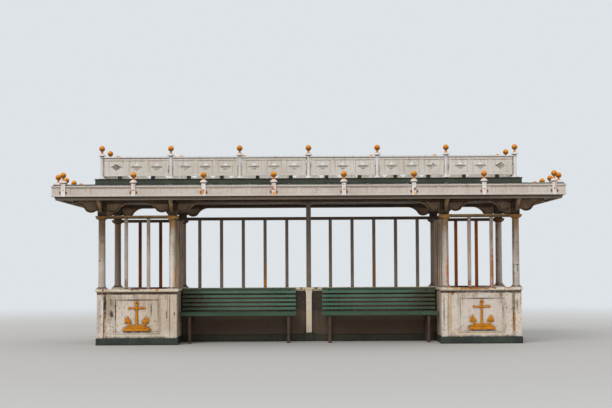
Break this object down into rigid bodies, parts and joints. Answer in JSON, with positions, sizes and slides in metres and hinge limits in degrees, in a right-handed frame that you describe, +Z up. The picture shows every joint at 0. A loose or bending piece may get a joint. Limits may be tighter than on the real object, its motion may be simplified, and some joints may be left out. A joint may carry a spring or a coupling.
{
  "type": "seaside shelter",
  "caption": "Open seaside shelter: cast columns on panelled dwarf walls, a flat roof with pierced balustrade and ball finials, slatted benches back to back along a spine wall.",
  "frame": {"origin": "on the ground in the middle of the plan", "axes": "+X along the front to the right, +Y from the front to the back, +Z up"},
  "size_m": [8.5406, 3.5726, 3.367],
  "materials": {
    "painted_render": "cream painted render over masonry, dark green skirting, chalky and stained",
    "painted_stone": "cream painted stone coping with rust runs",
    "column_iron": "cream gloss paint on cast iron, rusty at the edges",
    "screen_iron": "brown paint on iron, rusty",
    "bracket_iron": "cream paint on cast iron, grimy under the eaves",
    "eaves_timber_shaded": "painted timber",
    "ceiling_boards": "painted tongued boards",
    "fascia_boards": "cream gloss paint on timber, streaked with rust",
    "finial_iron": "white paint on cast iron, rusty",
    "gilt_balls": "golden orange paint on cast iron",
    "gilt_ornament": "golden orange paint on cast relief",
    "deck_sheet": "weathered sheet roofing",
    "curb_boards": "dark green paint on timber",
    "balustrade_iron": "cream paint on cast iron, rusty at the joints",
    "bench_slats": "green paint on timber, worn",
    "bench_iron": "green paint on cast iron"
  },
  "bodies": {
    "root": {"balustrade_balls": "gilt_balls", "balustrade_posts": "balustrade_iron", "ceiling": "ceiling_boards", "centre_post": "screen_iron", "cross_beams": "eaves_timber_shaded", "cross_head_rails": "screen_iron", "cross_mullions": "screen_iron", "cross_sills": "painted_stone", "end_bay_head_rails": "screen_iron", "end_bay_mullions": "screen_iron", "end_bay_sills": "painted_stone", "fascia_balls": "gilt_balls", "fascia_finial_straps": "finial_iron", "front_balustrade": "balustrade_iron", "front_beam": "eaves_timber_shaded", "front_bench_supports": "bench_iron", "front_brackets": "bracket_iron", "front_fascia": "fascia_boards", "front_inner_left_column": "column_iron", "front_inner_right_column": "column_iron", "front_left_bench_slats": "bench_slats", "front_left_wall": "painted_render", "front_outer_left_column": "column_iron", "front_outer_right_column": "column_iron", "front_right_bench_slats": "bench_slats", "front_right_wall": "painted_render", "left_balustrade": "balustrade_iron", "left_cross_wall": "painted_render", "left_fascia": "fascia_boards", "panel_ornaments": "gilt_ornament", "rear_balustrade": "balustrade_iron", "rear_beam": "eaves_timber_shaded", "rear_bench_supports": "bench_iron", "rear_brackets": "bracket_iron", "rear_fascia": "fascia_boards", "rear_inner_left_column": "column_iron", "rear_inner_right_column": "column_iron", "rear_left_bench_slats": "bench_slats", "rear_left_wall": "painted_render", "rear_outer_left_column": "column_iron", "rear_outer_right_column": "column_iron", "rear_right_bench_slats": "bench_slats", "rear_right_wall": "painted_render", "right_balustrade": "balustrade_iron", "right_cross_wall": "painted_render", "right_fascia": "fascia_boards", "roof_curb": "curb_boards", "roof_deck": "deck_sheet", "spine_head_rails": "screen_iron", "spine_mullions": "screen_iron", "spine_sill": "painted_stone", "spine_wall": "painted_render"}
  },
  "joints": []
}
